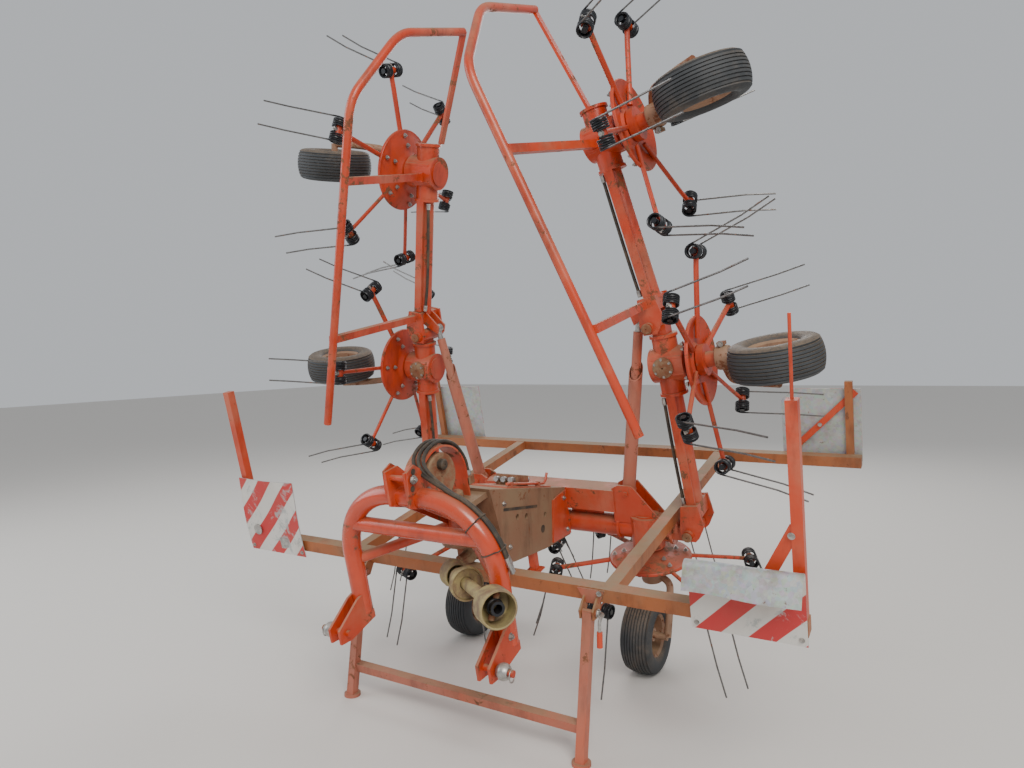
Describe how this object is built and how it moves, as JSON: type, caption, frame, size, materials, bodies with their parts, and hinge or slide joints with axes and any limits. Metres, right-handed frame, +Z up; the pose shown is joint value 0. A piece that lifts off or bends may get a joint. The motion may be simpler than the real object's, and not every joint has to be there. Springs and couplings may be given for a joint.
{
  "type": "folded hay tedder",
  "caption": "Mounted hay tedder parked with both rotor arms folded upright, on its wheels and parking stand, with arch headstock and boards.",
  "frame": {"origin": "on the floor, under the middle of the bounding box", "axes": "+X along the machine when it is spread, towards its right arm; -Y towards the tractor; +Z up"},
  "size_m": [2.96, 2.3315, 3.4488],
  "materials": {
    "frame_paint": "satin",
    "rotor_paint": "satin",
    "leg_paint": "matte",
    "board_paint": "satin",
    "strut_paint": "matte",
    "rod_steel": "satin",
    "rail_paint": "matte",
    "gearbox_iron": "matte",
    "shaft_guard": "matte",
    "tyre_rubber": "matte"
  },
  "bodies": {
    "chassis": {"main_beam": "frame_paint", "drawbar": "frame_paint", "input_gearbox": "gearbox_iron", "front_rail": "rail_paint", "rear_rail": "rail_paint", "long_beam_r": "rail_paint", "long_beam_l": "rail_paint", "board_front_r": "board_paint", "board_front_l": "board_paint", "board_rear_r": "board_paint", "board_rear_l": "board_paint", "leg_center_r": "leg_paint", "leg_center_l": "leg_paint"},
    "headstock": {"headstock_arch": "frame_paint", "swivel_head": "frame_paint", "link_bracket_r": "frame_paint", "link_bracket_l": "frame_paint", "pto_shaft": "shaft_guard"},
    "stand": {"parking_stand": "frame_paint"},
    "arm_inner_r": {"arm_inner_r": "frame_paint", "leg_inner_r": "leg_paint"},
    "arm_outer_r": {"arm_outer_r": "frame_paint", "guard_r": "frame_paint", "leg_outer_r": "leg_paint"},
    "cylinder_r": {"cylinder_r": "strut_paint"},
    "rod_r": {"rod_r": "rod_steel"},
    "arm_inner_l": {"arm_inner_l": "frame_paint", "leg_inner_l": "leg_paint"},
    "arm_outer_l": {"arm_outer_l": "frame_paint", "guard_l": "frame_paint", "leg_outer_l": "leg_paint"},
    "cylinder_l": {"cylinder_l": "strut_paint"},
    "rod_l": {"rod_l": "rod_steel"},
    "rotor_center_r": {"rotor_center_r": "rotor_paint"},
    "wheel_center_r": {"wheel_center_r": "tyre_rubber"},
    "rotor_center_l": {"rotor_center_l": "rotor_paint"},
    "wheel_center_l": {"wheel_center_l": "tyre_rubber"},
    "rotor_inner_r": {"rotor_inner_r": "rotor_paint"},
    "wheel_inner_r": {"wheel_inner_r": "tyre_rubber"},
    "rotor_inner_l": {"rotor_inner_l": "rotor_paint"},
    "wheel_inner_l": {"wheel_inner_l": "tyre_rubber"},
    "rotor_outer_r": {"rotor_outer_r": "rotor_paint"},
    "wheel_outer_r": {"wheel_outer_r": "tyre_rubber"},
    "rotor_outer_l": {"rotor_outer_l": "rotor_paint"},
    "wheel_outer_l": {"wheel_outer_l": "tyre_rubber"}
  },
  "joints": [
    {"name": "headstock_swivel", "type": "hinge", "parent": "chassis", "child": "headstock", "pos_m": [0, -0.65515, 0.9299], "axis": [0, -0.2079, 0.9781], "range_deg": [-12, 12]},
    {"name": "stand_fold", "type": "hinge", "parent": "chassis", "child": "stand", "pos_m": [0, -0.63942, 0.60099], "axis": [-1, 0, 0], "range_deg": [0, 48]},
    {"name": "arm_fold_r", "type": "hinge", "parent": "chassis", "child": "arm_inner_r", "pos_m": [0.8, 0.24593, 0.77895], "axis": [0, 0.9781, 0.2079], "range_deg": [0, 98]},
    {"name": "arm_tip_r", "type": "hinge", "parent": "arm_inner_r", "child": "arm_outer_r", "pos_m": [0.69024, 0.02882, 1.80038], "axis": [0, 0.9781, 0.2079], "range_deg": [0, 14]},
    {"name": "cylinder_swing_r", "type": "hinge", "parent": "chassis", "child": "cylinder_r", "pos_m": [0.465, 0.21058, 0.94524], "axis": [0, 0.9781, 0.2079], "range_deg": [0, 87]},
    {"name": "cylinder_stroke_r", "type": "slide", "parent": "cylinder_r", "child": "rod_r", "axis": [0.1587, -0.2053, 0.9658], "range_m": [0, 0.531]},
    {"name": "arm_fold_l", "type": "hinge", "parent": "chassis", "child": "arm_inner_l", "pos_m": [-0.8, 0.24593, 0.77895], "axis": [0, -0.9781, -0.2079], "range_deg": [0, 98]},
    {"name": "arm_tip_l", "type": "hinge", "parent": "arm_inner_l", "child": "arm_outer_l", "pos_m": [-0.69024, 0.02882, 1.80038], "axis": [0, -0.9781, -0.2079], "range_deg": [0, 14]},
    {"name": "cylinder_swing_l", "type": "hinge", "parent": "chassis", "child": "cylinder_l", "pos_m": [-0.465, 0.21058, 0.94524], "axis": [0, -0.9781, -0.2079], "range_deg": [0, 87]},
    {"name": "cylinder_stroke_l", "type": "slide", "parent": "cylinder_l", "child": "rod_l", "axis": [-0.1587, -0.2053, 0.9658], "range_m": [0, 0.531]},
    {"name": "rotor_spin_center_r", "type": "hinge", "parent": "chassis", "child": "rotor_center_r", "pos_m": [0.55, 0.28127, 0.61266], "axis": [0, -0.2079, 0.9781], "continuous": true},
    {"name": "wheel_roll_center_r", "type": "hinge", "parent": "chassis", "child": "wheel_center_r", "pos_m": [0.55, 0.21564, 0.2], "axis": [1, 0, 0], "continuous": true},
    {"name": "rotor_spin_center_l", "type": "hinge", "parent": "chassis", "child": "rotor_center_l", "pos_m": [-0.55, 0.28127, 0.61266], "axis": [0, -0.2079, 0.9781], "continuous": true},
    {"name": "wheel_roll_center_l", "type": "hinge", "parent": "chassis", "child": "wheel_center_l", "pos_m": [-0.55, 0.21564, 0.2], "axis": [1, 0, 0], "continuous": true},
    {"name": "rotor_spin_inner_r", "type": "hinge", "parent": "arm_inner_r", "child": "rotor_inner_r", "pos_m": [0.88022, 0.06648, 1.6232], "axis": [-0.9945, 0.0217, -0.1022], "continuous": true},
    {"name": "wheel_roll_inner_r", "type": "hinge", "parent": "arm_inner_r", "child": "wheel_inner_r", "pos_m": [1.26808, -0.08872, 1.63189], "axis": [-0.1045, -0.2068, 0.9728], "continuous": true},
    {"name": "rotor_spin_inner_l", "type": "hinge", "parent": "arm_inner_l", "child": "rotor_inner_l", "pos_m": [-0.88022, 0.06648, 1.6232], "axis": [0.9945, 0.0217, -0.1022], "continuous": true},
    {"name": "wheel_roll_inner_l", "type": "hinge", "parent": "arm_inner_l", "child": "wheel_inner_l", "pos_m": [-1.26808, -0.08872, 1.63189], "axis": [0.1045, -0.2068, 0.9728], "continuous": true},
    {"name": "rotor_spin_outer_r", "type": "hinge", "parent": "arm_outer_r", "child": "rotor_outer_r", "pos_m": [0.65343, -0.16146, 2.69555], "axis": [-0.9744, 0.0468, -0.22], "continuous": true},
    {"name": "wheel_roll_outer_r", "type": "hinge", "parent": "arm_outer_r", "child": "wheel_outer_r", "pos_m": [1.03344, -0.32642, 2.75018], "axis": [-0.225, -0.2026, 0.9531], "continuous": true},
    {"name": "rotor_spin_outer_l", "type": "hinge", "parent": "arm_outer_l", "child": "rotor_outer_l", "pos_m": [-0.65343, -0.16146, 2.69555], "axis": [0.9744, 0.0468, -0.22], "continuous": true},
    {"name": "wheel_roll_outer_l", "type": "hinge", "parent": "arm_outer_l", "child": "wheel_outer_l", "pos_m": [-1.03344, -0.32642, 2.75018], "axis": [0.225, -0.2026, 0.9531], "continuous": true}
  ],
  "couplings": [
    {"joint": "cylinder_swing_r", "follows": "arm_fold_r", "ratio": 0.88393},
    {"joint": "cylinder_stroke_r", "follows": "arm_fold_r", "m_per_rad": 0.31013},
    {"joint": "cylinder_swing_l", "follows": "arm_fold_l", "ratio": 0.88393},
    {"joint": "cylinder_stroke_l", "follows": "arm_fold_l", "m_per_rad": 0.31013},
    {"joint": "rotor_spin_center_l", "follows": "rotor_spin_center_r", "ratio": -1},
    {"joint": "rotor_spin_inner_r", "follows": "rotor_spin_center_r", "ratio": -1},
    {"joint": "rotor_spin_inner_l", "follows": "rotor_spin_center_r", "ratio": 1},
    {"joint": "rotor_spin_outer_r", "follows": "rotor_spin_center_r", "ratio": 1},
    {"joint": "rotor_spin_outer_l", "follows": "rotor_spin_center_r", "ratio": -1}
  ]
}
